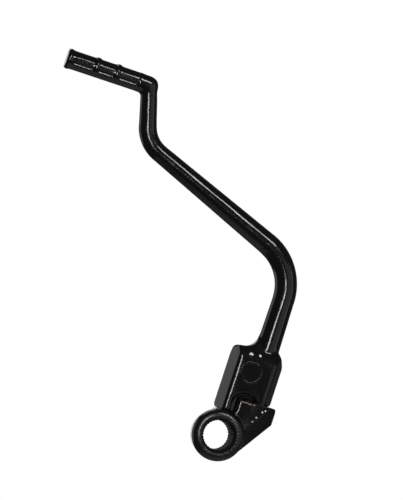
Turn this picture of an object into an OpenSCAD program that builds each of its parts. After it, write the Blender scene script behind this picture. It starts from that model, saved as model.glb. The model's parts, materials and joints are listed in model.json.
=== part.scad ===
// Folding kick start lever: a splined hub that carries a pivot stub, and a
// forged arm that swings on the stub, with its round bar and ribbed foot peg.
// The origin is the centre of the splined bore. X is to the right, Z is up and
// the shaft of the engine lies along Y. The fold axis leans in the XZ plane.

/* [Splined hub] */
// Diameter over the tips of the serrations
bore_d = 16; // [14:0.5:17]
// Depth of each serration
serration_depth = 0.7; // [0.5:0.05:0.9]
// Number of serrations round the bore
serration_count = 32; // [28:1:36]
// Diameter of the hub ring at its widest
ring_d = 29.6; // [27:0.1:31]
// Reach of the ring towards the front
ring_front = 13; // [12:0.5:15]
// Reach of the ring towards the back
ring_back = 13; // [12:0.5:14]
// Draft of the ring, from the front to the back, in degrees
ring_draft = 5; // [3:0.5:6]
// Radius of the ring's front rim
ring_round = 3.9; // [2:0.1:4.2]
// Diameter of the bevels at the mouths of the bore
mouth_d = 19.4; // [18:0.2:20.4]

/* [Knuckle] */
// Lean of the fold axis from upright, in degrees
lean = 18.2; // [15:0.1:21]
// Distance of the fold axis from the bore's centre, across the lean
pivot_offset = 8.6; // [8:0.1:9.4]
// Height of the low seat above the bore's centre, along the fold axis
seat_h = 13.9; // [13.7:0.1:14.3]
// Height of the raised stop above the low seat
stop_h = 8.8; // [8:0.1:9.6]
// Distance of the stop's faces from the fold axis
stop_reach = 3.9; // [3.5:0.1:4.1]
// Half thickness of the web
web_half = 9.5; // [9:0.1:9.9]
// Distance of the web's right side from the fold axis
web_side = 18.9; // [17.5:0.1:20]
// Slope of the web's lower edge in the row frame, in degrees
web_slope = 38.2; // [36:0.1:40]
// Width of the bevel along the web's lower edge
web_bevel = 7.7; // [6:0.1:8]
// Bevel on the edges of the raised stop
stop_bevel = 1.3; // [0.8:0.1:1.6]
// Length of the bevel along the stop's upper front edge
stop_bevel_len = 9; // [6:0.5:12]

/* [Pivot] */
// Diameter of the pivot stub
stub_d = 12; // [11:0.2:12.4]
// Length of the stub above the low seat
stub_len = 29.6; // [28:0.2:30.4]
// Running clearance of the stub in the arm, on the radius
stub_fit = 0.04; // [0.02:0.01:0.08]
// Gap between faces that slide past each other
face_gap = 0.3; // [0.2:0.05:0.4]
// Diameter of the retaining pin
pin_d = 4; // [3.5:0.1:4.4]
// Length of the retaining pin
pin_len = 15; // [13:0.5:16]
// Depth of the pin's centre line below the end of the stub
pin_drop = 5.5; // [4.5:0.1:7]

/* [Detent] */
// Diameter of the detent ball
ball_d = 4; // [3.6:0.1:4.2]
// Distance of the ball from the fold axis
ball_reach = 9; // [8.8:0.1:9.2]
// Direction of the ball from the fold axis, in degrees
ball_angle = -25; // [-32:1:-20]
// Depth of the track that the ball rolls in
track_depth = 0.35; // [0.25:0.05:0.5]
// Lift of the ball into the dimple at each end of the track
dimple_lift = 0.4; // [0.3:0.05:0.5]
// Depth of the ball's hole below the raised stop
ball_hole_depth = 11.2; // [10:0.1:12]
// Wire diameter of the detent spring
spring_wire = 0.6; // [0.5:0.05:0.7]
// Turns of the detent spring
spring_turns = 7; // [5:1:9]

/* [Arm block] */
// Half width of the block at its parting line
block_half = 15; // [14:0.1:15.4]
// Half width of the block's front and back faces
face_half = 10.5; // [9.8:0.1:11.2]
// Half thickness of the block
block_thick = 10; // [9.9:0.1:11]
// Height of the block's top above the bore's centre, along the fold axis
block_top = 50.7; // [49:0.1:52]
// Rounding of the block's long edges
block_round = 2; // [1:0.1:2.5]
// Radius of the arch in the block's front face
arch_r = 6.9; // [6.5:0.1:7.4]
// Height of the arch's centre above the bore's centre, along the fold axis
arch_h = 19.5; // [18.5:0.1:20.5]
// Depth of the arch behind the block's front face
arch_depth = 2.5; // [1.8:0.1:2.8]
// Outer diameter of the raised ring on the block's front face
mark_d = 11.8; // [10:0.2:12.6]
// Height of the raised ring
mark_h = 0.35; // [0.2:0.05:0.5]

/* [Bar] */
// Distance of the bar's lower end from the fold axis, to the right
bar_offset = 3.9; // [3:0.1:4.4]
// Height of the first corner above the bore's centre, along the fold axis
first_corner = 100.4; // [95:0.1:106]
// Slant of the long middle stretch, to the left of upright, in degrees
slant = 50.2; // [47:0.1:53]
// Length of the slanted stretch between its corners
slant_len = 105.2; // [98:0.1:112]
// Lean of the upper stretch, in degrees
upper_lean = 2.1; // [0:0.1:4]
// Length of the upper stretch between its corners
upper_len = 31.2; // [28:0.1:34]
// Bend radius of the first corner
first_bend = 28.5; // [24:0.5:32]
// Bend radius of the second corner
second_bend = 18; // [15:0.5:21]
// Diameter of the bar at the block
bar_d_root = 13.5; // [12.4:0.1:13.6]
// Diameter of the bar in the first bend
bar_d_first = 12.4; // [11.8:0.1:12.8]
// Diameter of the bar in the second bend
bar_d_second = 10.1; // [9.6:0.1:10.8]
// Diameter of the bar below the peg
bar_d_top = 9.3; // [8.8:0.1:9.8]

/* [Foot peg] */
// Length of the peg from the elbow's corner
peg_len = 47.6; // [44:0.1:52]
// Diameter of the peg between its ribs
peg_d = 10.6; // [10:0.1:10.8]
// How far the ribs stand out on the peg's upper side
rib_rise = 0.6; // [0.3:0.1:0.9]
// Width of a rib
rib_w = 2; // [1.6:0.1:2.6]
// Distance from the peg's end to the first rib
rib_first = 17.1; // [16:0.1:18]
// Distance between the ribs
rib_pitch = 11.8; // [11:0.1:12.6]
// Width of the flared end of the peg
cap_w = 3.6; // [3:0.1:4.5]
// Radius of the troughs between the ribs
scoop_r = 3.6; // [3:0.1:4.2]
// Depth of the troughs between the ribs
scoop_depth = 1.5; // [1:0.1:1.8]

/* [Hidden] */
$fn = 64;
black = "#141516";
steel = "#8d9092";
// Overlap that lets one shape run into the next
over = 1;
step_h = seat_h + stop_h;
block_foot = step_h + face_gap;
heel_foot = seat_h + face_gap;
heel_reach = stop_reach + face_gap;
stub_r = stub_d / 2;
stub_top = seat_h + stub_len;
stub_bore_top = stub_top + 2 * face_gap;
pin_r = pin_d / 2;
pin_h = stub_top - pin_drop;
ball_r = ball_d / 2;
// Play of the ball in its hole and in its track
ball_play = 0.05;
ball_h = block_foot + track_depth - ball_play - ball_r;
ball_hole_r = ball_r + 2 * ball_play;
ball_hole_foot = step_h - ball_hole_depth;
swing_r = block_half + 2 * face_gap;
fold_travel = 90;
web_dir = web_slope + lean;
// Reach of the sections that trim the hub, past all of its sides
past_hub = ring_d + stop_h + web_side;
// Reach of the web past the ring's radius, across the web's lower edge
web_past_ring = 0.3;
web_edge = ring_d / 2 + web_past_ring;
bar_line = pivot_offset + bar_offset;
corner_1 = bar_line * across(lean) + first_corner * heading(lean);
corner_2 = corner_1 + slant_len * heading(-slant);
corner_3 = corner_2 + upper_len * heading(upper_lean);
peg_dir = lean - 90;
peg_r = peg_d / 2;

// Unit vector of a heading in the XZ plane, measured from upright to the right
function heading(a) = [sin(a), 0, cos(a)];
// Unit vector to the right of a heading
function across(a) = [cos(a), 0, -sin(a)];

// Arc that rounds the corner p between two neighbours
function corner_arc(before, p, after, r, steps) =
    let (
        a = (before - p) / norm(before - p),
        b = (after - p) / norm(after - p),
        half = acos(a * b) / 2,
        centre = p + (a + b) / norm(a + b) * r / sin(half),
        from = p + a * r / tan(half) - centre,
        to = p + b * r / tan(half) - centre,
        start = atan2(from[1], from[0]),
        turn = (atan2(to[1], to[0]) - start + 540) % 360 - 180
    )
    [for (i = [0 : steps])
        let (t = start + turn * i / steps)
        centre + r * [cos(t), sin(t)]];

// Outline with rounded corners, each given as [x, y, radius]
function rounded(corners, steps = 5) =
    let (count = len(corners))
    [for (i = [0 : count - 1])
        let (
            p = [corners[i][0], corners[i][1]],
            q = corners[(i + count - 1) % count],
            s = corners[(i + 1) % count],
            r = corners[i][2]
        )
        each (r == 0 ? [p] : corner_arc([q[0], q[1]], p, [s[0], s[1]], r, steps))];

// Places a shape in the leaned frame, whose Z runs along the fold axis
module leaned() {
    rotate([0, lean, 0]) children();
}

// Places a shape on the fold axis
module on_pivot() {
    leaned() translate([pivot_offset, 0, 0]) children();
}

// Extrudes an XZ outline along Y between two depths
module through_y(from, to) {
    translate([0, to, 0]) rotate([90, 0, 0]) linear_extrude(to - from) children();
}

// Extrudes a YZ outline along X between two places
module through_x(from, to) {
    translate([from, 0, 0]) rotate([90, 0, 90]) linear_extrude(to - from) children();
}

// Turns an outline of radius and depth about the bore's axis
module about_bore() {
    rotate([-90, 0, 0]) rotate_extrude() children();
}

// Drafted ring of the hub, with a soft front rim
module hub_ring() {
    widest = ring_d / 2;
    back_r = widest - (ring_front + ring_back) * tan(ring_draft);
    core_r = bore_d / 2 - over;
    about_bore() polygon(rounded([
        [core_r, -ring_front, 0],
        [core_r, ring_back, 0],
        [back_r, ring_back, 1.2],
        [widest, -ring_front, ring_round]
    ]));
}

// Outline of the web with the raised stop, in the leaned frame
module web_outline() {
    touch = web_edge * [sin(web_dir), -cos(web_dir)];
    side = pivot_offset + web_side;
    run = (side - touch[0]) / cos(web_dir);
    stop_left = pivot_offset - stop_reach;
    polygon(rounded([
        [0, 0, 0],
        [touch[0], touch[1], 0],
        [side, touch[1] + run * sin(web_dir), 2],
        [side, step_h, 1.8],
        [stop_left, step_h, 0.8],
        [stop_left, seat_h, 0],
        [pivot_offset - block_half + over, seat_h, 0.8]
    ]));
}

// Drafted section of the web, seen along its lower edge
module web_section() {
    land = 1;
    inner = web_edge - web_bevel;
    rotate([0, 90 - web_dir, 0]) translate([0, 0, -past_hub]) linear_extrude(2 * past_hub) polygon([
        [web_edge, -land],
        [web_edge, land],
        [inner, web_half],
        [-past_hub, web_half],
        [-past_hub, -web_half],
        [inner, -web_half]
    ]);
}

// Drafted section of the web, seen along the fold axis
module side_section() {
    side = pivot_offset + web_side;
    land = 0.5;
    draft = 1.8;
    translate([0, 0, -past_hub]) linear_extrude(2 * past_hub) polygon([
        [side, -land],
        [side, land],
        [side - draft, web_half],
        [-past_hub, web_half],
        [-past_hub, -web_half],
        [side - draft, -web_half]
    ]);
}

// Space above the low seat that the arm's heel sweeps through
module heel_sweep() {
    tall = stop_h + over;
    on_pivot() translate([0, 0, seat_h]) {
        intersection() {
            cylinder(r = swing_r, h = tall);
            translate([-swing_r, stop_reach, 0]) cube([2 * swing_r, swing_r, tall]);
        }
        translate([-swing_r, -block_thick - face_gap, 0])
            cube([swing_r - stop_reach, 2 * swing_r, tall]);
    }
}

// Bevels along the left and upper front edges of the raised stop
module stop_bevels() {
    side = stop_bevel * sqrt(2);
    off_seat = 0.5;
    on_pivot() {
        translate([-stop_reach, -web_half, step_h + off_seat])
            rotate([0, 0, 45]) cube([side, side, 2 * stop_h], center = true);
        translate([-stop_reach, -web_half, step_h])
            rotate([45, 0, 0]) cube([2 * stop_bevel_len, side, side], center = true);
    }
}

// Stub that the arm turns on, with the groove for the retaining pin
module stub() {
    groove_r = stub_r - pin_r - 2 * face_gap / 3;
    groove_half = pin_r + face_gap;
    nose = 1;
    sunk = 5;
    on_pivot() difference() {
        union() {
            translate([0, 0, seat_h - sunk]) cylinder(r = stub_r, h = stub_len + sunk - nose);
            translate([0, 0, stub_top - nose]) cylinder(r1 = stub_r, r2 = stub_r - nose, h = nose);
        }
        translate([0, 0, pin_h - groove_half]) difference() {
            cylinder(r = stub_r + over, h = 2 * groove_half);
            translate([0, 0, -over]) cylinder(r = groove_r, h = 2 * (groove_half + over));
        }
    }
}

// Bore of the hub with its serrations and the bevels at its mouths
module splined_bore() {
    tip_r = bore_d / 2;
    root_r = tip_r + serration_depth;
    foot = 0.75;
    sunk = 0.5;
    rotate([-90, 0, 0]) translate([0, 0, -ring_front - over]) {
        cylinder(r = tip_r, h = ring_front + ring_back + 2 * over, $fn = 128);
        for (i = [0 : serration_count - 1])
            rotate([0, 0, 360 * i / serration_count])
                linear_extrude(ring_front + ring_back + 2 * over)
                    polygon([[tip_r - sunk, -foot], [root_r, 0], [tip_r - sunk, foot]]);
    }
    mouth_r = mouth_d / 2;
    bevel = mouth_r - tip_r + 0.3;
    for (face = [-ring_front, ring_back]) {
        out = sign(face);
        about_bore() polygon([
            [0, face + out * over],
            [mouth_r + over, face + out * over],
            [mouth_r - bevel, face - out * bevel],
            [0, face - out * bevel]
        ]);
    }
}

// Blind hole in the raised stop for the spring and the ball
module ball_hole() {
    on_pivot() rotate([0, 0, ball_angle]) translate([ball_reach, 0, ball_hole_foot])
        cylinder(r = ball_hole_r, h = ball_hole_depth + over);
}

module hub() {
    color(black) difference() {
        union() {
            difference() {
                union() {
                    hub_ring();
                    leaned() intersection() {
                        through_y(-web_half, web_half) web_outline();
                        web_section();
                        side_section();
                    }
                }
                heel_sweep();
                stop_bevels();
            }
            stub();
        }
        splined_bore();
        ball_hole();
    }
}

// Front outline of the block and of the neck that runs into the bar
module block_outline() {
    left = pivot_offset - block_half;
    right = pivot_offset + block_half;
    heel = pivot_offset - heel_reach;
    bar_r = bar_d_root / 2;
    neck_len = 10;
    neck_top = block_top + neck_len;
    neck_fillet = 7.2;
    shoulder_drop = 3.6;
    shoulder_inset = 0.6;
    shoulder_end = bar_line + bar_r - shoulder_inset;
    polygon(rounded([
        [left, heel_foot, 2.2],
        [heel, heel_foot, 0.6],
        [heel, block_foot, 0.6],
        [right, block_foot, 1.6],
        [right, block_top - shoulder_drop, 2.5],
        [shoulder_end, block_top + 2, 2],
        [bar_line, neck_top, 0],
        [bar_line - bar_r, neck_top, 0],
        [bar_line - bar_r, block_top, neck_fillet],
        [left, block_top, 2.4]
    ]));
}

// Drafted section of the block, seen along the fold axis
module block_section() {
    land = 0.5;
    land_round = 0.4;
    polygon(rounded([
        [block_half, -land, land_round],
        [block_half, land, land_round],
        [face_half, block_thick, block_round],
        [-face_half, block_thick, block_round],
        [-block_half, land, land_round],
        [-block_half, -land, land_round],
        [-face_half, -block_thick, block_round],
        [face_half, -block_thick, block_round]
    ]));
}

// Side profile of the block, whose faces slope back to the neck
module block_profile() {
    sunk = 1.2;
    neck_half = bar_d_root / 2 - sunk;
    slope_foot = block_top - 4.8;
    slope_end = block_top + 1.5;
    fade = block_top + 6;
    tip = block_top + 9;
    polygon(rounded([
        [-block_thick, heel_foot - over, 0],
        [block_thick, heel_foot - over, 0],
        [block_thick, slope_foot, 3],
        [neck_half, slope_end, 3],
        [neck_half / 2, fade, 3],
        [0, tip, 1],
        [-neck_half / 2, fade, 3],
        [-neck_half, slope_end, 3],
        [-block_thick, slope_foot, 3]
    ]));
}

// Arch in the block's front face, over the hub's raised stop
module arch() {
    floor_y = -block_thick + arch_depth;
    lip = 0.8;
    on_pivot() {
        translate([0, floor_y, arch_h]) rotate([90, 0, 0]) cylinder(r = arch_r, h = arch_depth + over);
        translate([0, lip - block_thick, arch_h]) rotate([90, 0, 0])
            cylinder(r1 = arch_r, r2 = arch_r + lip + over, h = lip + over);
        translate([-arch_r, -block_thick - over, heel_foot - over])
            cube([2 * arch_r, arch_depth + over, arch_h - heel_foot + over]);
    }
}

// Plain raised ring on the block's front face
module face_mark() {
    above_foot = 14.6;
    left_of_axis = 1.8;
    line = 0.7;
    on_pivot() translate([-left_of_axis, over - block_thick, block_foot + above_foot])
        rotate([90, 0, 0]) difference() {
            cylinder(d = mark_d, h = mark_h + over);
            translate([0, 0, -over]) cylinder(d = mark_d - 2 * line, h = mark_h + 3 * over);
        }
}

// Straight round stretch of the bar, tapered, which laps a hair into its bends
module stretch(from, dir, length, d_from, d_to) {
    lap = 0.6;
    inset = 0.12;
    translate(from - lap * heading(dir)) rotate([0, dir, 0])
        cylinder(d1 = d_from - inset, d2 = d_to - inset, h = length + 2 * lap);
}

// Round bend of the bar that turns from one heading to the next about a corner
module bend(corner, dir_in, dir_out, radius, d) {
    turn = dir_out - dir_in;
    middle = corner - bend_tangent(turn, radius) * heading(dir_in)
        + sign(turn) * radius * across(dir_in);
    translate(middle) rotate([0, dir_in, 0]) rotate([90, 0, 0])
        rotate([0, 0, turn < 0 ? 0 : 180 - turn])
            rotate_extrude(angle = abs(turn)) translate([radius, 0]) circle(d = d);
}

// Length that a bend takes from each of the two stretches that it joins
function bend_tangent(turn, radius) = radius * tan(abs(turn) / 2);

// Bar from the block to the elbow
module bar() {
    cut_1 = bend_tangent(slant + lean, first_bend);
    cut_2 = bend_tangent(slant + upper_lean, second_bend);
    wall = 1.5;
    root_h = stub_bore_top + wall;
    stretch(bar_line * across(lean) + root_h * heading(lean), lean,
        first_corner - cut_1 - root_h, bar_d_root, bar_d_first);
    bend(corner_1, lean, -slant, first_bend, bar_d_first);
    stretch(corner_1 + cut_1 * heading(-slant), -slant,
        slant_len - cut_1 - cut_2, bar_d_first, bar_d_second);
    bend(corner_2, -slant, upper_lean, second_bend, bar_d_second);
    stretch(corner_2 + cut_2 * heading(upper_lean), upper_lean,
        upper_len - cut_2, bar_d_second, bar_d_top);
}

// Trough in the peg's side between two distances from the elbow, with steep ends
module scoop(from, to) {
    translate([0, peg_r + scoop_r - scoop_depth, from]) cylinder(r = scoop_r, h = to - from);
}

// Foot peg with its ribs, flared end and the troughs in its sides
module peg() {
    rib_1 = peg_len - rib_first;
    rib_2 = rib_1 - rib_pitch;
    collar = 6;
    swell = 0.3;
    hair = 0.1;
    end_wall = 0.4;
    margin = rib_w / 2 + hair;
    cap_r = peg_r + rib_rise;
    translate(corner_3) rotate([0, peg_dir, 0]) {
        sphere(d = peg_d + swell + 2 * hair);
        difference() {
            union() {
                cylinder(d = peg_d, h = peg_len - over);
                cylinder(d = peg_d + swell, h = collar);
                for (h = [rib_1, rib_2])
                    translate([rib_rise / 2 + hair, 0, h - rib_w / 2])
                        cylinder(d = peg_d + rib_rise, h = rib_w);
            }
            for (side = [0, 180]) rotate([0, 0, side]) {
                scoop(collar + end_wall, rib_2 - margin);
                scoop(rib_2 + margin, rib_1 - margin);
                scoop(rib_1 + margin, peg_len - cap_w - end_wall);
            }
        }
        rotate_extrude() polygon(rounded([
            [0, peg_len - cap_w, 0],
            [peg_r - swell, peg_len - cap_w, 0],
            [cap_r, peg_len - cap_w / 2, 0.8],
            [cap_r - 2 * hair, peg_len, 1.7],
            [0, peg_len, 0]
        ]));
    }
}

// Blind bore for the stub, with the hole for the retaining pin
module stub_bore() {
    point = 2;
    bore_r = stub_r + stub_fit;
    on_pivot() {
        translate([0, 0, heel_foot - over]) cylinder(r = bore_r, h = stub_bore_top - heel_foot + over);
        translate([0, 0, stub_bore_top]) cylinder(r1 = bore_r, r2 = stub_r - point, h = point);
        pin_shape(over);
    }
}

// Retaining pin, let in from the back across the side of the stub
module pin_shape(past) {
    sunk = 0.2;
    translate([stub_r, block_thick - pin_len, pin_h]) rotate([-90, 0, 0])
        cylinder(r = pin_r, h = pin_len - sunk + past);
}

// Track and end dimples that the detent ball runs in, under the block
module ball_track() {
    on_pivot() {
        translate([0, 0, ball_h]) rotate([0, 0, ball_angle]) rotate_extrude(angle = fold_travel)
            translate([ball_reach, 0]) circle(r = ball_r + ball_play);
        for (turn = [0, fold_travel])
            rotate([0, 0, ball_angle + turn])
                translate([ball_reach, 0, ball_h + dimple_lift]) sphere(r = ball_r + ball_play);
    }
}

module arm() {
    color(black) difference() {
        union() {
            difference() {
                leaned() intersection() {
                    through_y(-block_thick, block_thick) block_outline();
                    translate([pivot_offset, 0, 0]) linear_extrude(2 * block_top) block_section();
                    through_x(-block_half, 2 * block_half + pivot_offset) block_profile();
                }
                arch();
            }
            face_mark();
            bar();
            peg();
        }
        stub_bore();
        ball_track();
    }
}

module retaining_pin() {
    color(steel) on_pivot() pin_shape(0);
}

// Coil of round wire, swept as rings along a helix
module coil(coil_r, wire_r, length, turns) {
    sides = 8;
    steps = 14;
    rings = turns * steps;
    points = [for (i = [0 : rings])
        for (j = [0 : sides - 1])
            let (
                t = 360 * i / steps,
                w = 360 * j / sides,
                r = coil_r + wire_r * cos(w)
            )
            [r * cos(t), r * sin(t), length * i / rings + wire_r * sin(w)]];
    walls = [for (i = [0 : rings - 1])
        for (j = [0 : sides - 1])
            [i * sides + j, i * sides + (j + 1) % sides,
             (i + 1) * sides + (j + 1) % sides, (i + 1) * sides + j]];
    ends = [[for (j = [0 : sides - 1]) sides - 1 - j], [for (j = [0 : sides - 1]) rings * sides + j]];
    polyhedron(points, concat(walls, ends));
}

module detent_spring() {
    wire_r = spring_wire / 2;
    side_play = 0.2;
    cup_share = 0.86;
    foot = ball_hole_foot + wire_r + ball_play;
    seat = ball_h - ball_r * cup_share - wire_r;
    color(steel) on_pivot() rotate([0, 0, ball_angle]) translate([ball_reach, 0, foot])
        coil(ball_hole_r - wire_r - side_play, wire_r, seat - foot, spring_turns);
}

module detent_ball() {
    color(steel) on_pivot() rotate([0, 0, ball_angle]) translate([ball_reach, 0, ball_h])
        sphere(r = ball_r);
}

hub();
arm();
retaining_pin();
detent_spring();
detent_ball();
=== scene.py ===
# %% [markdown]
# A folding kick start lever, dressed as it looks in the photograph. The solids
# come packed from the construction model. This script gives them their finish,
# softens the two forgings, and lights and frames them.

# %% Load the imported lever
import json
import math
import bpy
from mathutils import Matrix, Vector


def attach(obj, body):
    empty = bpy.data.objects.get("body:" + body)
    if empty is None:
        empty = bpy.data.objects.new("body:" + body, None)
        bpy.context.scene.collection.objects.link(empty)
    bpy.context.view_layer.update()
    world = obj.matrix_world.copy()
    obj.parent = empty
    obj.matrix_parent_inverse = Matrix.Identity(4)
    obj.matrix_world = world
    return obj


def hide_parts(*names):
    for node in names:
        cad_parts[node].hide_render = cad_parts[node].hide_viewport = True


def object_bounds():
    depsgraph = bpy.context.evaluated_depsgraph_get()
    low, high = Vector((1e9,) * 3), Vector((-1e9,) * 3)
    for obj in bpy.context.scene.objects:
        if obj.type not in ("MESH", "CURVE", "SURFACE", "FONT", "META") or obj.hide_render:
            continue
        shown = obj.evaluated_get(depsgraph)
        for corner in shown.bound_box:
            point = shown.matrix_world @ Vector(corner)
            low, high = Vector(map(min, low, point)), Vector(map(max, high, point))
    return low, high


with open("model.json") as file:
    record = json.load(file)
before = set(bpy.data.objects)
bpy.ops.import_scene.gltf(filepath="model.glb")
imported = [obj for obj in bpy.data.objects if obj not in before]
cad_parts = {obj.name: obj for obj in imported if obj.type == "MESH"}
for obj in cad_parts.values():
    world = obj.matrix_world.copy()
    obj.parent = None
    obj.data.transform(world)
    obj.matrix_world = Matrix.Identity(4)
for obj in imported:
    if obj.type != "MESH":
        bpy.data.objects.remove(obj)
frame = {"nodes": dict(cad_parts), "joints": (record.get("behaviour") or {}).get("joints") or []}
SOLID_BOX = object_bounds()
MM = 0.001
print("nodes:", ", ".join(sorted(frame["nodes"])))

# %% [markdown]
# The camera comes first, because the finishes are judged in its frame. The
# photograph was taken with a long lens from slightly left of straight on, so
# that the right wall of the bore shows. A long distance keeps the view flat.

# %% Set the camera at the photograph's angle
PHOTO_W, PHOTO_H = 403, 500
MM_PER_PIXEL = 0.545
BORE_PIXEL = (215.7, 434.4)
CAMERA_AZIMUTH = math.radians(-7.0)
CAMERA_DISTANCE = 3.0
SENSOR_MM = 24.0
SIGHT_LIMIT = 20
LOOK = Vector((-math.sin(CAMERA_AZIMUTH), math.cos(CAMERA_AZIMUTH), 0))
TO_RIGHT = Vector((math.cos(CAMERA_AZIMUTH), math.sin(CAMERA_AZIMUTH), 0))
UP = Vector((0, 0, 1))


def photo_camera(centre):
    """Camera whose frame is the photograph's, aimed level at the frame's centre."""
    data = bpy.data.cameras.new("photo_camera")
    data.sensor_fit = "VERTICAL"
    data.sensor_height = SENSOR_MM
    data.lens = SENSOR_MM * CAMERA_DISTANCE / (PHOTO_H * MM_PER_PIXEL * MM)
    data.clip_end = SIGHT_LIMIT
    camera = bpy.data.objects.new("photo_camera", data)
    bpy.context.scene.collection.objects.link(camera)
    camera.location = centre - LOOK * CAMERA_DISTANCE
    camera.rotation_euler = (math.pi / 2, 0, CAMERA_AZIMUTH)
    bpy.context.scene.camera = camera
    return camera


right_of_bore = (PHOTO_W / 2 - BORE_PIXEL[0]) * MM_PER_PIXEL * MM
above_bore = (BORE_PIXEL[1] - PHOTO_H / 2) * MM_PER_PIXEL * MM
camera = photo_camera(TO_RIGHT * right_of_bore + UP * above_bore)
print("camera at", [round(c, 3) for c in camera.location])

# %% [markdown]
# The block, its seat on the hub and the peg all follow the lean of the fold
# axis. Places on them are given in that leaned frame: to the right of the
# axis, and up along it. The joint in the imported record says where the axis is.
# Small marks of wear are given by their pixel in the photograph instead, with
# a depth.

# %% The leaned frame of the fold joint
fold_joint = next(j for j in frame["joints"] if j["name"] == "arm_fold")
FOLD_POINT = Vector(fold_joint["pos_m"])
FOLD_AXIS = Vector(fold_joint["axis"]).normalized()
FOLD_ACROSS = Vector((FOLD_AXIS.z, 0, -FOLD_AXIS.x))
TO_VIEWER = Vector((0, -1, 0))


def on_fold(right, up):
    """Place in metres, from millimetres to the right of the fold axis and up it."""
    return FOLD_POINT + (FOLD_ACROSS * right + FOLD_AXIS * up) * MM


def seen_at(px, py, depth):
    """Place in metres seen at a pixel of the photograph; the depth is its Y in mm."""
    right = (px - BORE_PIXEL[0]) * MM_PER_PIXEL
    up = (BORE_PIXEL[1] - py) * MM_PER_PIXEL
    return Vector(((right - depth * TO_RIGHT.y) / TO_RIGHT.x, depth, up)) * MM


BORE_CENTRE = Vector((0, 0, 0))
print("the fold axis leans", round(math.degrees(math.asin(FOLD_AXIS.x)), 1), "degrees")

# %% [markdown]
# Materials and Geometry Nodes are both trees of nodes. Their maths reads best
# as plain expressions, so a small class wraps a socket and its operators add
# the Math nodes. Every other node comes from one method.

# %% Sockets in expressions
class Wire:
    """One output socket of a tree, for use in expressions."""

    def __init__(self, wiring, socket):
        self.wiring = wiring
        self.socket = socket

    def math(self, operation, first, second):
        return self.wiring.node("ShaderNodeMath", {"operation": operation},
                                {0: first, 1: second})

    def __add__(self, other):
        return self.math("ADD", self, other)

    def __radd__(self, other):
        return self.math("ADD", other, self)

    def __sub__(self, other):
        return self.math("SUBTRACT", self, other)

    def __rsub__(self, other):
        return self.math("SUBTRACT", other, self)

    def __mul__(self, other):
        return self.math("MULTIPLY", self, other)

    def __rmul__(self, other):
        return self.math("MULTIPLY", other, self)

    def __truediv__(self, other):
        return self.math("DIVIDE", self, other)

    def __or__(self, other):
        """The larger of two numbers or masks."""
        return self.math("MAXIMUM", self, other)


print("sockets can be added, multiplied and joined")

# %% [markdown]
# A mask is a number from 0 to 1 that says where on the lever something is.
# Masks are made of distances: along a direction, from a point, or from a line
# that runs from the viewer straight through the lever.

# %% Trees under construction, and their masks
class Wiring:
    """Tree under construction; a subclass sets its place, a vector socket."""

    def __init__(self, tree):
        self.tree = tree

    def node(self, kind, settings, inputs, output=0):
        """Adds a node, sets it up and wires its inputs; gives its output back."""
        made = self.tree.nodes.new(kind)
        for key, value in settings.items():
            setattr(made, key, value)
        for key, value in inputs.items():
            if isinstance(value, Wire):
                self.tree.links.new(value.socket, made.inputs[key])
            else:
                made.inputs[key].default_value = value
        return Wire(self, made.outputs[output])

    def vector(self, operation, first, second=None):
        """Vector Math node on two vectors, or on a vector and its scale."""
        inputs = {0: first}
        if second is not None:
            inputs["Scale" if operation == "SCALE" else 1] = second
        single = operation in ("LENGTH", "DOT_PRODUCT", "DISTANCE")
        return self.node("ShaderNodeVectorMath", {"operation": operation}, inputs,
                         output="Value" if single else 0)

    def grain(self, scale, detail=2.0, roughness=0.5):
        """Noise on the place; the scale is in cycles a metre."""
        return self.node("ShaderNodeTexNoise", {},
                         {"Vector": self.place, "Scale": scale, "Detail": detail,
                          "Roughness": roughness})

    def along(self, direction, start=BORE_CENTRE):
        """Distance of the place along a direction, from a starting point, in metres."""
        moved = self.vector("SUBTRACT", self.place, tuple(start))
        return self.vector("DOT_PRODUCT", moved, tuple(direction))

    def from_point(self, point):
        """Distance of the place from a point, in metres."""
        return self.vector("DISTANCE", self.place, tuple(point))

    def from_line(self, point):
        """Distance of the place from the line along Y through a point, in metres."""
        moved = self.vector("SUBTRACT", self.place, tuple(point))
        return self.vector("LENGTH", self.vector("MULTIPLY", moved, (1, 0, 1)))

    def ramp(self, value, low, high):
        """Number that rises smoothly from 0 to 1 while the value goes from low to high."""
        return self.node("ShaderNodeMapRange", {"interpolation_type": "SMOOTHSTEP"},
                         {"Value": value, "From Min": low, "From Max": high})

    def band(self, value, low, high, soft):
        """Mask that is 1 between low and high and fades out over the soft width."""
        return self.ramp(value, low - soft, low) * (1 - self.ramp(value, high, high + soft))

    def any_of(self, masks):
        """Mask that is the largest of several."""
        total, *others = masks
        for mask in others:
            total = total | mask
        return total


print("trees can be built")

# %% [markdown]
# The peg has three troughs on each side, pressed in between its ribs so that
# a boot doesn't slip off. Both the shape and the paint need to know where
# they are: the walls are carved, and the paint lies a little hollow there.

# %% The troughs of the peg
ELBOW = Vector((-36.5, 0, 190.0)) * MM
PEG = Vector((-FOLD_AXIS.z, 0, FOLD_AXIS.x))
TROUGHS_FROM_ELBOW = ((7.2, 16.8), (20.6, 28.6), (32.4, 42.8))
TROUGH_END_SLOPE = 0.8 * MM
TROUGH_LOWER_WALL = -2.1 * MM
TROUGH_UPPER_WALL = -0.35 * MM


def trough_mask(wiring, wall):
    """Mask of the peg's troughs. Each wall slopes over the given width, with its
    middle at the wall's height from the peg's centre line."""
    across = wiring.along(FOLD_AXIS, ELBOW)
    length = wiring.along(PEG, ELBOW)
    lengths = wiring.any_of([wiring.band(length, start * MM, end * MM, TROUGH_END_SLOPE)
                             for start, end in TROUGHS_FROM_ELBOW])
    return lengths * wiring.band(across, TROUGH_LOWER_WALL + wall / 2,
                                 TROUGH_UPPER_WALL - wall / 2, wall)


print(len(TROUGHS_FROM_ELBOW), "troughs on each side of the peg")

# %% [markdown]
# A finish is a tree around one shader. Its place is the object's own
# coordinates, so that nothing slides when the arm folds.

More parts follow.
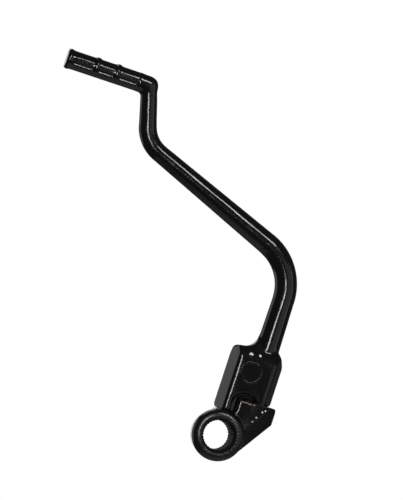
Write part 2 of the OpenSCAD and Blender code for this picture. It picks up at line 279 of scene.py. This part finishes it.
# %% A finish under construction
class Paint(Wiring):
    """Material with its shader and its object coordinates."""

    def __init__(self, name):
        self.material = bpy.data.materials.new(name)
        self.material.use_nodes = True
        super().__init__(self.material.node_tree)
        self.shader = self.tree.nodes["Principled BSDF"]
        self.place = self.node("ShaderNodeTexCoord", {}, {}, output="Object")

    def blend(self, mask, first, second):
        """Colour that goes from the first to the second as the mask rises."""
        return self.node("ShaderNodeMix", {"data_type": "RGBA"},
                         {0: mask, 6: first, 7: second}, output=2)

    def bump(self, height, strength, depth, normal=None):
        """Normal tilted by a height; a height of 1 stands for the depth, in metres."""
        inputs = {"Height": height, "Strength": strength, "Distance": depth}
        if normal is not None:
            inputs["Normal"] = normal
        return self.node("ShaderNodeBump", {}, inputs)

    def feed(self, **sockets):
        """Sets or wires the shader's sockets; underscores stand for spaces."""
        for key, value in sockets.items():
            socket = self.shader.inputs[key.replace("_", " ")]
            if isinstance(value, Wire):
                self.tree.links.new(value.socket, socket)
            else:
                socket.default_value = value

    def cover(self, mask, other):
        """Shows another shader in place of the finish where the mask is 1."""
        mix = self.node("ShaderNodeMixShader", {}, {0: mask, 2: other})
        self.tree.links.new(self.shader.outputs[0], mix.socket.node.inputs[1])
        self.tree.links.new(mix.socket, self.tree.nodes["Material Output"].inputs[0])


print("finishes can be mixed")

# %% [markdown]
# The lever is finished in gloss black enamel over a rough forging. The coat is
# almost black, so nearly all that is seen of it is reflection. Its look comes
# from a low roughness, a slight orange peel, and fine specks of scale under
# the coat. A painted image could hold all this, but it would need the lever
# unwrapped, while noise on the object's coordinates runs over every bend and
# stays sharp. Places meant to look shaded get painted shade: a second, matt
# near-black shader that reflects next to nothing.

# %% Gloss black enamel
ENAMEL_BLACK = (0.0030, 0.0033, 0.0032, 1)
ENAMEL_DUSTY = (0.016, 0.016, 0.015, 1)
# Painted shade: a matt near-black shader laid over the enamel where a surface should look
# shaded.
PAINTED_SHADE_BLACK = (0.008, 0.008, 0.008, 1)
PAINTED_SHADE_ROUGHNESS = 0.9
PAINTED_SHADE_SHEEN = 0.1
CLOUDS_PER_M, SPECKS_PER_M, DUST_PER_M, PEEL_PER_M = 90, 2400, 1400, 480
CLOUD_EDGES, SPECK_EDGES, DUST_EDGES = (0.45, 0.8), (0.62, 0.74), (0.52, 0.72)
DUST_COARSENESS = 0.7
CLOUDY = 0.25
DUST_FILM, DUST_SPECKLE = 0.4, 0.6
ENAMEL_ROUGHNESS, SPECK_ROUGHNESS, DULL_ROUGHNESS = 0.12, 0.16, 0.42
PEEL_DEPTH = 0.3 * MM
GRIT_DEPTH, GRIT_STRENGTH = 0.09 * MM, 0.14
SPECK_GRIT, DUST_GRIT, DUST_GRIT_WHERE_DULL = 0.5, 0.3, 1.2
FACET_FLAT = 0.6


class Enamel(Paint):
    """Black enamel, with room for dull, coloured and raised places, and for painted shade in
    matt black.
    """

    def __init__(self, name):
        super().__init__(name)
        clouds = self.ramp(self.grain(CLOUDS_PER_M, detail=3), *CLOUD_EDGES)
        self.specks = self.ramp(self.grain(SPECKS_PER_M, detail=1), *SPECK_EDGES)
        self.dust = self.ramp(self.grain(DUST_PER_M, detail=4, roughness=DUST_COARSENESS),
                              *DUST_EDGES)
        self.dull = CLOUDY * clouds

    def dent_facets(self, places, radius, rise):
        """Height in mm of small flat dents; each rises to the right and up by the
        given slopes, which decide the lamp that it mirrors."""
        total = None
        for place in places:
            spot = 1 - self.ramp(self.from_line(place), FACET_FLAT * radius, radius)
            facet = spot * self.along((rise[0] / MM, 0, rise[1] / MM), place)
            total = facet if total is None else total + facet
        return total

    def finish(self, peel, relief, matt, stain=None):
        """Wires the coat. The relief is a height in mm, the matt places of painted shade
        are a mask, and a stain is a mask with its colour."""
        dusty = self.dull * (DUST_FILM + DUST_SPECKLE * self.dust)
        colour = self.blend(dusty, ENAMEL_BLACK, ENAMEL_DUSTY)
        if stain is not None:
            colour = self.blend(stain[0], colour, stain[1])
        wave = self.bump(self.grain(PEEL_PER_M), peel, PEEL_DEPTH)
        wave = self.bump(relief, 1.0, 1 * MM, wave)
        grit = (self.specks * (SPECK_GRIT + self.dull)
                + self.dust * (DUST_GRIT + DUST_GRIT_WHERE_DULL * self.dull))
        self.feed(Base_Color=colour,
                  Roughness=(ENAMEL_ROUGHNESS + SPECK_ROUGHNESS * self.specks
                             + DULL_ROUGHNESS * self.dull),
                  Normal=self.bump(grit, GRIT_STRENGTH, GRIT_DEPTH, wave))
        # Painted shade: the matt near-black shader covers the enamel where the mask is 1.
        painted_shade = self.node("ShaderNodeBsdfPrincipled", {},
                         {"Base Color": PAINTED_SHADE_BLACK, "Roughness": PAINTED_SHADE_ROUGHNESS,
                          "Specular IOR Level": PAINTED_SHADE_SHEEN})
        self.cover(matt, painted_shade)
        return self.material


print("enamel is ready for both forgings")

# %% [markdown]
# On the arm, the face mark is left as a plain faint ring. Over it the paint
# has run into two bright drops at the foot of the neck. The edge between face
# and shoulder is painted shade: a matt black band.

# %% Enamel of the arm
MARK = seen_at(251.3, 372.6, -10)
ARM_PEEL = 0.14
RUNS = ((seen_at(251.5, 354.3, -9), 1.7 * MM), (seen_at(260.4, 355.7, -9), 1.1 * MM))
RUN_SLOPES = (0.06, 0.385)
RUN_FRONT = (5 * MM, 6 * MM)
# The painted shade on the block's top edge is kept off the two runs, and lies at these depths
# and heights.
UNSHADED_ROUND_RUN = (1.3 * MM, 1.5 * MM)
BLOCK_FACE = (8.5 * MM, 9 * MM)
TOP_SHADE_FRONT = (8.2 * MM, 8.8 * MM)
TOP_SHADE_HEIGHTS, TOP_SHADE_SOFT = (45.8 * MM, 47.6 * MM), 0.5 * MM
RING_RADII, RING_SOFT = (5.5 * MM, 5.8 * MM), 0.45 * MM
RING_HEIGHT = 0.25
HOLLOW_IN_TROUGH = 0.45
HOLLOW_WALL = 1.1 * MM


def arm_enamel(paint):
    """Enamel with the plain ring, the two runs, and painted shade on the block's top edge."""
    to_viewer = paint.along(TO_VIEWER)
    face = paint.ramp(to_viewer, *BLOCK_FACE)
    up = paint.along(FOLD_AXIS, FOLD_POINT)
    # Painted shade: matt black along the top edge of the block's face.
    matt = (face * paint.ramp(to_viewer, *TOP_SHADE_FRONT)
            * paint.band(up, *TOP_SHADE_HEIGHTS, TOP_SHADE_SOFT))
    runs = None
    for place, radius in RUNS:
        matt = matt * paint.ramp(paint.from_line(place), *UNSHADED_ROUND_RUN)
        run = paint.dent_facets([place], radius, RUN_SLOPES)
        runs = run if runs is None else runs + run
    runs = runs * paint.ramp(to_viewer, *RUN_FRONT)
    ring = paint.band(paint.from_line(MARK), *RING_RADII, RING_SOFT) * face
    hollow = trough_mask(paint, HOLLOW_WALL)
    return paint.finish(ARM_PEEL, RING_HEIGHT * ring + runs - HOLLOW_IN_TROUGH * hollow, matt)


arm_finish = arm_enamel(Enamel("black_enamel_of_the_arm"))
print("made", arm_finish.name)

# %% [markdown]
# The hub wears more than the arm. Its ring shows the rough skin of the forging
# at the lower right, stones have chipped the web, and damp under the folding
# block leaves a little rust along the seam. Painted shade, in matt black, lies
# in the bore, on the lower right of its mouth and along the seam.

# %% Enamel of the hub
HUB_PEEL = 0.18
RUST = (0.055, 0.018, 0.010, 1)
RUST_SHARE = 0.6
RUST_PATCHES_PER_M, SKIN_PER_M = 420, 1300
SKIN_EVERYWHERE, SKIN_LOWER_RIGHT = 0.05, 0.23
RING_DULL = 0.25
# Strength of the painted shade inside the bore and at the seam.
BORE_MATT, SEAM_MATT = 0.95, 0.9
UP_LEFT, UP_LEFT_FADE = (-0.7, 0, 0.7), (-4 * MM, 2 * MM)
BORE_WALL, BORE_MOUTH = (8.9 * MM, 9.6 * MM), (9.9 * MM, 10.4 * MM)
RING_INSIDE, RING_OUTSIDE = (9.5 * MM, 10.2 * MM), (13.4 * MM, 14.6 * MM)
RING_FRONT, WEB_FRONT = (10.5 * MM, 11.5 * MM), (6.4 * MM, 7.2 * MM)
SHADE_HEIGHTS, SHADE_SOFT = (22.0 * MM, 23.2 * MM), 0.3 * MM
SHADE_RIGHT_FROM = (2 * MM, 5 * MM)
DAMP_HEIGHTS, DAMP_HEIGHT_SOFT = (20.8 * MM, 22.4 * MM), 0.9 * MM
DAMP_WIDTH, DAMP_WIDTH_SOFT = (1 * MM, 9 * MM), 2 * MM
PATCHINESS = (0.42, 0.62)
CHIP_PIXELS = ((262, 412), (265.2, 411), (267, 415.5), (256, 417.3), (257.2, 420.7),
               (252, 421.5), (247.2, 399), (249, 400.3))
CHIP_RADIUS = 0.75 * MM
CHIP_SLOPES = (0.12, -0.07)


def hub_enamel(paint):
    """Enamel with painted shade in the bore and at the seam, the ring's skin, the web's chips,
    and the seam's rust.
    """
    radius = paint.from_line(BORE_CENTRE)
    to_viewer = paint.along(TO_VIEWER)
    up = paint.along(FOLD_AXIS, FOLD_POINT)
    right = paint.along(FOLD_ACROSS, FOLD_POINT)
    lower_right = 1 - paint.ramp(paint.along(UP_LEFT), *UP_LEFT_FADE)

    # Painted shade: matt black inside the bore, on the lower right of its mouth, and at the seam
    # under the block.
    wall = 1 - paint.ramp(radius, *BORE_WALL)
    mouth = (1 - paint.ramp(radius, *BORE_MOUTH)) * lower_right
    shade = (paint.band(up, *SHADE_HEIGHTS, SHADE_SOFT)
             * paint.ramp(right, *SHADE_RIGHT_FROM))
    matt = BORE_MATT * (wall | mouth) | SEAM_MATT * shade

    ring = (paint.ramp(radius, *RING_INSIDE) * (1 - paint.ramp(radius, *RING_OUTSIDE))
            * paint.ramp(to_viewer, *RING_FRONT))
    paint.dull = paint.dull | RING_DULL * ring
    skin = ((SKIN_EVERYWHERE + SKIN_LOWER_RIGHT * lower_right) * ring
            * paint.grain(SKIN_PER_M, detail=3))

    front = paint.ramp(to_viewer, *WEB_FRONT)
    damp = (paint.band(up, *DAMP_HEIGHTS, DAMP_HEIGHT_SOFT)
            * paint.band(right, *DAMP_WIDTH, DAMP_WIDTH_SOFT))
    patchy = paint.ramp(paint.grain(RUST_PATCHES_PER_M, detail=3), *PATCHINESS)
    stain = (damp * patchy * front * RUST_SHARE, RUST)

    chips = paint.dent_facets([seen_at(px, py, -8) for px, py in CHIP_PIXELS],
                              CHIP_RADIUS, CHIP_SLOPES)
    return paint.finish(HUB_PEEL, chips * front + skin, matt, stain)


hub_finish = hub_enamel(Enamel("black_enamel_of_the_hub"))
print("made", hub_finish.name)

# %% [markdown]
# The pin, the ball and the spring inside the joint are bare ground steel with
# an oil film. Fine grinding streaks come from a noise that is squeezed along
# one axis, and the film darkens the steel in clouds. An anisotropic shader
# could stand for the grinding too, but these parts are small and deep in the
# joint, and plain streaks are enough.

# %% Bare oiled steel
STEEL_CLEAN = (0.42, 0.41, 0.39, 1)
STEEL_OILY = (0.30, 0.27, 0.23, 1)
STREAK_STRETCH = (1, 9, 1)
STREAKS_PER_M, FILM_PER_M = 900.0, 200
FILM_EDGES = (0.4, 0.7)
STEEL_ROUGHNESS, STREAK_ROUGHNESS, FILM_ROUGHNESS = 0.22, 0.2, 0.1
STREAK_DEPTH, STREAK_STRENGTH = 0.05 * MM, 0.2


def oiled_steel():
    """Metal with grinding streaks and clouds of oil."""
    paint = Paint("oiled_steel")
    stretched = paint.node("ShaderNodeMapping", {},
                           {"Vector": paint.place, "Scale": STREAK_STRETCH})
    streaks = paint.node("ShaderNodeTexNoise", {},
                         {"Vector": stretched, "Scale": STREAKS_PER_M, "Detail": 3.0})
    film = paint.ramp(paint.grain(FILM_PER_M, detail=3), *FILM_EDGES)
    paint.feed(Metallic=1.0,
               Base_Color=paint.blend(film, STEEL_CLEAN, STEEL_OILY),
               Roughness=(STEEL_ROUGHNESS + STREAK_ROUGHNESS * streaks
                          + FILM_ROUGHNESS * film),
               Normal=paint.bump(streaks, STREAK_STRENGTH, STREAK_DEPTH))
    return paint.material


steel_finish = oiled_steel()
for node in ("retaining_pin", "detent_ball", "detent_spring"):
    solid = frame["nodes"][node]
    solid.data.materials.clear()
    solid.data.materials.append(steel_finish)
print("made", steel_finish.name, "for the inner parts of the joint")

# %% [markdown]
# The construction solids have crisp edges. The real forgings don't: their
# corners are rounded by the dies, by trimming and by the thick coat of paint.
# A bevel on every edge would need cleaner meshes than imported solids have, and
# sculpting by hand can't be repeated. So a Geometry Nodes tree moves the
# points of a remeshed copy of each forging. This helper wraps such a tree: its
# place is each point's position, and its inputs have names, so that both
# forgings can share it.

# %% A shaping tree under construction
class Shaping(Wiring):
    """Geometry Nodes tree with named inputs; its place is each point's position."""

    def __init__(self, name, inputs):
        super().__init__(bpy.data.node_groups.new(name, "GeometryNodeTree"))
        face = self.tree.interface
        face.new_socket("Geometry", in_out="INPUT", socket_type="NodeSocketGeometry")
        for label, kind in inputs.items():
            face.new_socket(label, in_out="INPUT", socket_type="NodeSocket" + kind)
        face.new_socket("Geometry", in_out="OUTPUT", socket_type="NodeSocketGeometry")
        entry = self.tree.nodes.new("NodeGroupInput")
        self.given = {s.name: Wire(self, s) for s in entry.outputs if s.name}
        self.place = self.node("GeometryNodeInputPosition", {}, {})
        self.normal = self.node("GeometryNodeInputNormal", {}, {})

    def moved(self, geometry, direction, distance):
        """Geometry whose points are moved along a vector, by a factor of it."""
        offset = self.vector("SCALE", direction, distance)
        return self.node("GeometryNodeSetPosition", {},
                         {"Geometry": geometry, "Offset": offset})

    def relaxed(self, geometry, steps, weight):
        """Geometry whose points drift towards their neighbours, by the weight."""
        calm = self.node("GeometryNodeBlurAttribute", {"data_type": "FLOAT_VECTOR"},
                         {"Value": self.place, "Iterations": steps, "Weight": weight})
        return self.node("GeometryNodeSetPosition", {},
                         {"Geometry": geometry, "Position": calm})

    def finish(self, geometry):
        """Realizes the geometry, gives it its material and closes the tree."""
        smooth = self.node("GeometryNodeSetShadeSmooth", {}, {"Geometry": geometry})
        real = self.node("GeometryNodeRealizeInstances", {}, {"Geometry": smooth})
        painted = self.node("GeometryNodeSetMaterial", {},
                            {"Geometry": real, "Material": self.given["Finish"]})
        self.tree.links.new(painted.socket, self.tree.nodes.new("NodeGroupOutput").inputs[0])
        return self.tree


print("shaping trees can be built")

# %% [markdown]
# Some surfaces are held back from the softening, because they are machined or
# crisp in the photograph: the splined bore, both seats of the fold, and the
# top edge of the block's face.

# %% Where the forging may soften
MACHINED_BORE = 9.0 * MM
BORE_FADE = 1.2 * MM
SEAM_HEIGHTS = (13.9, 22.7)
SEAM_BELOW, SEAM_ABOVE, SEAM_FADE = 0.6, 0.9, 0.6 * MM
SEAM_HOLD = 0.85
BLOCK_TOP = (45 * MM, 52 * MM)
BLOCK_TOP_FADE = 1 * MM
BLOCK_TOP_HOLD = 0.75


def front_side(shaping):
    """Mask of what lies near the front faces of the forgings."""
    return shaping.ramp(shaping.along(TO_VIEWER), 7 * MM, 8 * MM)


def free_to_soften(shaping):
    """Mask that drops where a surface is machined or crisp."""
    up = shaping.along(FOLD_AXIS, FOLD_POINT)
    free = shaping.ramp(shaping.from_line(BORE_CENTRE),
                        MACHINED_BORE, MACHINED_BORE + BORE_FADE)
    for height in SEAM_HEIGHTS:
        seat = shaping.band(up, (height - SEAM_BELOW) * MM, (height + SEAM_ABOVE) * MM,
                            SEAM_FADE)
        free = free * (1 - SEAM_HOLD * seat)
    top = front_side(shaping) * shaping.band(up, *BLOCK_TOP, BLOCK_TOP_FADE)
    return free * (1 - BLOCK_TOP_HOLD * top)


print("held back: the bore,", len(SEAM_HEIGHTS), "seats and the block's top edge")

# %% [markdown]
# The peg is round, with shallow troughs, so its skin follows a rule: outside a
# trough it is filled up to the peg's radius, and in a trough it lies a little
# under it. The face mark is levelled, since only its plain ring is painted.

# %% Shapes that follow a rule
PEG_RADIUS = 5.3 * MM
FACE_DEPTH = 10 * MM
PEG_BEGINS = (6 * MM, 7 * MM)
TROUGH_DEPTH = 0.4 * MM
TROUGH_WALL = 1.8 * MM
MARK_REACH = (7 * MM, 7.5 * MM)
MARK_BASE = (FACE_DEPTH - 0.6 * MM, FACE_DEPTH - 0.3 * MM)


def with_troughs(shaping, geometry):
    """Peg filled to its radius, with its troughs carved again."""
    length = shaping.along(PEG, ELBOW)
    from_elbow = shaping.vector("SUBTRACT", shaping.place, tuple(ELBOW))
    outwards = shaping.vector("SUBTRACT", from_elbow,
                              shaping.vector("SCALE", tuple(PEG), length))
    radius = shaping.vector("LENGTH", outwards)
    missing = PEG_RADIUS - radius
    on_peg = shaping.ramp(length, *PEG_BEGINS)
    trough = trough_mask(shaping, TROUGH_WALL)
    rise = (missing * trough + (missing | 0.0) * on_peg * (1 - trough)
            - TROUGH_DEPTH * trough)
    return shaping.moved(geometry, outwards, rise / radius)


def with_level_mark(shaping, geometry):
    """Block's face made flush where the CAD has the raised ring of the mark."""
    to_viewer = shaping.along(TO_VIEWER)
    bare = (shaping.ramp(to_viewer, *MARK_BASE) * shaping.given["Bare mark"]
            * (1 - shaping.ramp(shaping.from_line(MARK), *MARK_REACH)))
    return shaping.moved(geometry, tuple(TO_VIEWER), bare * (FACE_DEPTH - to_viewer))


print("troughs", TROUGH_DEPTH / MM, "mm deep")

# %% [markdown]
# Paint has run onto the hub's seats and narrows the seam of the fold. Both
# forgings also swell a little here and there, as hammered steel does. Last,
# the block is kept clear of the detent ball, whose two dimples the softening
# has made too shallow: the lifted ball has to fit in them at both ends of the
# fold.

# %% Paint on the seat, swell, and room for the ball
FACING_UP = (0.85, 0.97)
PAINT_BAND = (0.25, 0.1)
PAINT_FADE = 0.1 * MM
SWELLS_PER_M = 95
DETENT_LIFT = 0.4 * MM
DIMPLE_PLAY = 0.05 * MM
FOLD_ANGLE = math.radians(90)

ball_points = [v.co for v in frame["nodes"]["detent_ball"].data.vertices]
BALL_RADIUS = (max(p.y for p in ball_points) - min(p.y for p in ball_points)) / 2
lifted = sum(ball_points, Vector()) / len(ball_points) + FOLD_AXIS * DETENT_LIFT
folded = FOLD_POINT + Matrix.Rotation(FOLD_ANGLE, 4, FOLD_AXIS) @ (lifted - FOLD_POINT)
BALL_IN_DIMPLES = (lifted, folded)


def with_painted_seats(shaping, geometry):
    """Seats of the fold raised by the coat of paint on them."""
    up = shaping.along(FOLD_AXIS, FOLD_POINT)
    level = shaping.vector("DOT_PRODUCT", shaping.normal, tuple(FOLD_AXIS))
    coat = shaping.ramp(level, *FACING_UP) * shaping.given["Paint"]
    below, above = PAINT_BAND
    on_seat = shaping.any_of([shaping.band(up, (height - below) * MM, (height + above) * MM,
                                           PAINT_FADE) for height in SEAM_HEIGHTS])
    return shaping.moved(geometry, tuple(FOLD_AXIS), coat * on_seat)


def with_swell(shaping, geometry, free):
    """Skin that goes in and out a little, but not on the front faces."""
    wave = shaping.grain(SWELLS_PER_M) - 0.5
    swell = wave * shaping.given["Unevenness"] * free * (1 - front_side(shaping))
    return shaping.moved(geometry, shaping.normal, swell)


def with_room_for_ball(shaping, geometry):
    """Dimples pushed clear of the lifted detent ball."""
    for centre in BALL_IN_DIMPLES:
        from_ball = shaping.vector("SUBTRACT", shaping.place, tuple(centre))
        away = shaping.vector("LENGTH", from_ball)
        push = (BALL_RADIUS + DIMPLE_PLAY - away | 0.0) / away * shaping.given["Ball room"]
        geometry = shaping.moved(geometry, from_ball, push)
    return geometry


print("ball of radius", round(BALL_RADIUS / MM, 2), "mm in dimples at",
      [[round(c / MM, 1) for c in place] for place in BALL_IN_DIMPLES], "mm")

# %% [markdown]
# The steps go in this order: rules first, then a blur of all positions, then a
# long blur at the places where the steel flows, which are the elbow and both
# sides of the neck's foot. The paint, the swell and the dimples come last, so
# that nothing blurs them away.

# %% The softening tree
FLOWING_PLACES = ((ELBOW, 8 * MM), (on_fold(-9, 49), 7 * MM), (on_fold(9.5, 47), 6 * MM))


def soften_tree():
    """Tree that turns a crisp remeshed solid into a forging."""
    shaping = Shaping("soften_forging",
                      {"Relax steps": "Int", "Flow steps": "Int", "Paint": "Float",
                       "Bare mark": "Float", "Ball room": "Float", "Unevenness": "Float",
                       "Finish": "Material"})
    given = shaping.given
    free = free_to_soften(shaping)
    flowing = shaping.any_of([1 - shaping.ramp(shaping.from_point(place), radius / 2, radius)
                              for place, radius in FLOWING_PLACES])
    shape = with_troughs(shaping, given["Geometry"])
    shape = with_level_mark(shaping, shape)
    shape = shaping.relaxed(shape, given["Relax steps"], free)
    shape = shaping.relaxed(shape, given["Flow steps"], flowing * free)
    shape = with_painted_seats(shaping, shape)
    shape = with_swell(shaping, shape, free)
    shape = with_room_for_ball(shaping, shape)
    return shaping.finish(shape)


SOFTEN = soften_tree()
print("softening tree with", len(SOFTEN.nodes), "nodes")

# %% [markdown]
# Each forging is remeshed first, so that the blur has even cells to work on.
# The hub gets the finer cells because of the 32 teeth of its bore, and it
# alone has paint on its seats. The copy rides on its body and stands for the
# solid, which stays in the model for collisions.

# %% The two forgings
WELD_REACH = 0.002 * MM
ARM_CELL, HUB_CELL = 0.44 * MM, 0.30 * MM
ARM_SETTINGS = {"Relax steps": 8, "Flow steps": 60, "Paint": 0.0, "Bare mark": 1.0,
                "Ball room": 1.0, "Unevenness": 0.08 * MM, "Finish": arm_finish}
HUB_SETTINGS = {"Relax steps": 8, "Flow steps": 0, "Paint": 0.2 * MM, "Bare mark": 0.0,
                "Ball room": 0.0, "Unevenness": 0.08 * MM, "Finish": hub_finish}


def input_name(tree, label):
    """Identifier of a named input, by which a modifier's value is set."""
    return next(s.identifier for s in tree.interface.items_tree
                if s.name == label and s.in_out == "INPUT")


def forged(node, body, cell, settings):
    """Soft copy of a solid, remeshed at the cell size, that stands for it."""
    mesh = frame["nodes"][node].data.copy()
    mesh.materials.clear()
    piece = bpy.data.objects.new(node + "_forging", mesh)
    bpy.context.scene.collection.objects.link(piece)
    weld = piece.modifiers.new("weld", "WELD")
    weld.merge_threshold = WELD_REACH
    remesh = piece.modifiers.new("remesh", "REMESH")
    remesh.mode = "VOXEL"
    remesh.voxel_size = cell
    soften = piece.modifiers.new("soften", "NODES")
    soften.node_group = SOFTEN
    for label, value in settings.items():
        soften[input_name(SOFTEN, label)] = value
    bpy.context.view_layer.update()
    evaluated = piece.evaluated_get(bpy.context.evaluated_depsgraph_get())
    plain = bpy.data.meshes.new_from_object(evaluated)
    piece.modifiers.clear()
    piece.data = plain
    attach(piece, body)
    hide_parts(node)
    return piece


arm_forging = forged("arm", "arm", ARM_CELL, ARM_SETTINGS)
hub_forging = forged("hub", "hub", HUB_CELL, HUB_SETTINGS)
for forging in (arm_forging, hub_forging):
    forging.data.calc_loop_triangles()
    print(forging.name, len(forging.data.loop_triangles), "triangles")

# %% [markdown]
# On the real lever every straight stretch carries one thin bright line. A
# round bar mirrors a lamp only where its skin faces halfway between the lamp
# and the eye, so the place of the line across the bar gives the lamp's side.
# The lower bar and the upright have it in the middle: one lamp stands beside
# the camera. The slant and the peg have it on their upper side: the key lamp
# is high on the right. Elsewhere the room is dark, and black looks black.

# %% Directions towards the lamps
LEVER_CENTRE = (SOLID_BOX[0] + SOLID_BOX[1]) / 2
TO_CAMERA = -LOOK
UPRIGHT_HEADING, SLANT_HEADING, PEG_HEADING = 2.1, -50.2, -71.8


def as_seen(right, up, to_camera=0.0):
    """Direction given as the camera sees it: to the right, up, and towards it."""
    return (TO_RIGHT * right + UP * up + TO_CAMERA * to_camera).normalized()


def mirrored(heading, turn):
    """Direction of the lamp whose line lies where a bar's skin is turned by an angle.
    The heading is that of the bar from upright to the right, in degrees; the
    turn is counted from the skin nearest to the camera to the right or up."""
    bar = Vector((math.sin(math.radians(heading)), 0, math.cos(math.radians(heading))))
    near = (TO_CAMERA - bar * TO_CAMERA.dot(bar)).normalized()
    side = near.cross(bar).normalized()
    if side.dot(TO_RIGHT) < 0:
        side.negate()
    skin = near * math.cos(math.radians(turn)) + side * math.sin(math.radians(turn))
    return skin * (2 * skin.dot(TO_CAMERA)) - TO_CAMERA


KEY_ENDS = (mirrored(SLANT_HEADING, turn=22), mirrored(PEG_HEADING, turn=21))
FRONT_ENDS = (mirrored(UPRIGHT_HEADING, turn=0.5), as_seen(0.02, 0.3, 1))
for name, ends in (("key", KEY_ENDS), ("front", FRONT_ENDS)):
    print(name, "lamp from", *([round(c, 2) for c in end] for end in ends))

# %% [markdown]
# An area lamp is the soft light of a window or a card. Its energy is worked
# out from the brightness that its surface should have. A strip spans the
# directions that two bars mirror, with some spare at both ends. Beside the two
# strips, broad dim cards give the grey bands on the flat sides of the block
# and on the right halves of the bars. A picture of a studio could light the
# lever too, but then no single line could be put in its place.

# %% Lamps
LAMP_DISTANCE = 2.0
WATTS_FOR_BRIGHTNESS = 4


def soft_box(name, towards, along, width, length, brightness):
    """Area lamp of a given surface brightness, turned to the lever's centre."""
    data = bpy.data.lights.new(name, "AREA")
    data.shape = "RECTANGLE"
    data.size = width
    data.size_y = length
    data.energy = WATTS_FOR_BRIGHTNESS * width * length * brightness
    lamp = bpy.data.objects.new(name, data)
    back = towards.normalized()
    side = along.cross(back).normalized()
    turned = Matrix((side, back.cross(side), back)).transposed()
    lamp.matrix_world = (Matrix.Translation(LEVER_CENTRE + back * LAMP_DISTANCE)
                         @ turned.to_4x4())
    bpy.context.scene.collection.objects.link(lamp)
    return lamp


def strip(name, ends, spare, width, brightness):
    """Strip lamp from one direction to another, longer at both ends by the spare."""
    along = ends[1] - ends[0]
    length = along.length * LAMP_DISTANCE + 2 * spare
    return soft_box(name, ends[0] + ends[1], along, width, length, brightness)


lamps = (
    strip("key", KEY_ENDS, spare=0.16, width=0.28, brightness=14),
    strip("front", FRONT_ENDS, spare=0.09, width=0.24, brightness=17),
    soft_box("ceiling", as_seen(-0.3, 0.75, -0.6), TO_RIGHT,
             width=1.0, length=1.0, brightness=1.6),
    soft_box("left_card", as_seen(-0.9, 0.1, -0.45), UP,
             width=1.15, length=1.8, brightness=0.6),
    soft_box("right_card", as_seen(0.75, -0.12, 0.62), UP,
             width=2.0, length=1.3, brightness=0.35),
    soft_box("right_edge_card", as_seen(0.96, 0.0, 0.27), UP,
             width=0.25, length=1.2, brightness=0.8),
)
print("lamps:", ", ".join(lamp.name for lamp in lamps))

# %% [markdown]
# The stage is a pale floor and a white sheet far behind the lever, out of the
# way of a camera that looks from the back. Lamps strong enough to make them
# white would spoil the black paint, so they glow instead, but only for rays
# from the camera. The sheet is white in reflections too, so that the lever's
# outer edges catch it.

# %% Floor and sheet
STAGE_PALE = (0.78, 0.78, 0.78, 1)
STAGE_PALER = (0.82, 0.82, 0.82, 1)
STAGE_GRAIN_PER_M = 300
STAGE_ROUGHNESS, STAGE_GRAIN_ROUGHNESS = 0.8, 0.15
WHITE_GLOW = 1.0
FLOOR_Z = -0.8
FLOOR_HALF = 0.7
SHEET_Y = 4.2
SHEET_HALF = 0.7
CORNERS = ((-1, -1), (1, -1), (1, 1), (-1, 1))


def stage_finish(name, seen_by):
    """White diffuse surface that also glows for the named kinds of ray."""
    paint = Paint(name)
    grain = paint.grain(STAGE_GRAIN_PER_M)
    paint.feed(Base_Color=paint.blend(grain, STAGE_PALE, STAGE_PALER),
               Roughness=STAGE_ROUGHNESS + STAGE_GRAIN_ROUGHNESS * grain)
    shown = paint.any_of([paint.node("ShaderNodeLightPath", {}, {}, kind)
                          for kind in seen_by])
    paint.cover(shown, paint.node("ShaderNodeEmission", {}, {"Strength": WHITE_GLOW}))
    return paint.material


def stage_sheet(name, corners, finish):
    """Flat four-cornered sheet that belongs to the stage."""
    mesh = bpy.data.meshes.new(name)
    mesh.from_pydata(corners, [], [(0, 1, 2, 3)])
    mesh.materials.append(finish)
    piece = bpy.data.objects.new(name, mesh)
    bpy.context.scene.collection.objects.link(piece)
    return piece


floor = stage_sheet("floor", [(x * FLOOR_HALF, y * FLOOR_HALF, FLOOR_Z) for x, y in CORNERS],
                    stage_finish("pale_floor", ["Is Camera Ray"]))
sheet = stage_sheet("sheet", [(LEVER_CENTRE.x + x * SHEET_HALF, SHEET_Y,
                               LEVER_CENTRE.z + z * SHEET_HALF) for x, z in CORNERS],
                    stage_finish("white_sheet", ["Is Camera Ray", "Is Glossy Ray",
                                                 "Is Transmission Ray"]))
print(floor.name, "at z", FLOOR_Z, "and", sheet.name, "at y", SHEET_Y)

# %% [markdown]
# The world stands for the dim room. Only the camera sees it as white, so that
# every view of the lever has the photograph's plain background.

# %% World
ROOM_LEVEL = 0.07
WHITE = (1, 1, 1, 1)


def dim_room(level):
    """World that is white to the camera and of a dim level to all else."""
    world = bpy.data.worlds.new("dim_room")
    bpy.context.scene.world = world
    world.use_nodes = True
    wiring = Wiring(world.node_tree)
    room = wiring.tree.nodes["Background"]
    room.inputs["Color"].default_value = WHITE
    seen = wiring.node("ShaderNodeLightPath", {}, {}, "Is Camera Ray")
    strength = level + (1 - level) * seen
    wiring.tree.links.new(strength.socket, room.inputs["Strength"])
    return world


room = dim_room(ROOM_LEVEL)
print("world", room.name, "at", ROOM_LEVEL)

# %% [markdown]
# The view transform is plain.

bpy.context.scene.view_settings.view_transform = "Standard"
